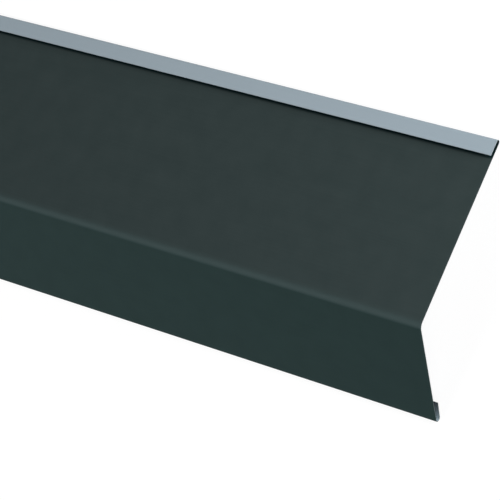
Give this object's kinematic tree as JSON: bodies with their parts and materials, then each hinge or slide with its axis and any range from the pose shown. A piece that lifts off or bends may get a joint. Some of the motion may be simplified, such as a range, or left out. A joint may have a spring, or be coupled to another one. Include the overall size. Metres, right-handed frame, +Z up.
{
  "type": "drip edge flashing",
  "caption": "Folded sheet steel eaves flashing: wide flange with an open back hem, obtuse bend, and an apron with an open drip hem.",
  "frame": {"origin": "on the floor under the middle of the strip, as it lies bend upwards on the folds of its two hems", "axes": "+X along the strip; the apron with the drip hem faces -Y and the flange falls away to the back hem at +Y; +Z up"},
  "size_m": [1, 0.1919, 0.0526],
  "materials": {
    "coated_steel": "matt anthracite polyester coil coating on the outer face, light blue-grey backing coat on the reverse"
  },
  "bodies": {
    "root": {"drip_edge": "coated_steel"}
  },
  "joints": []
}
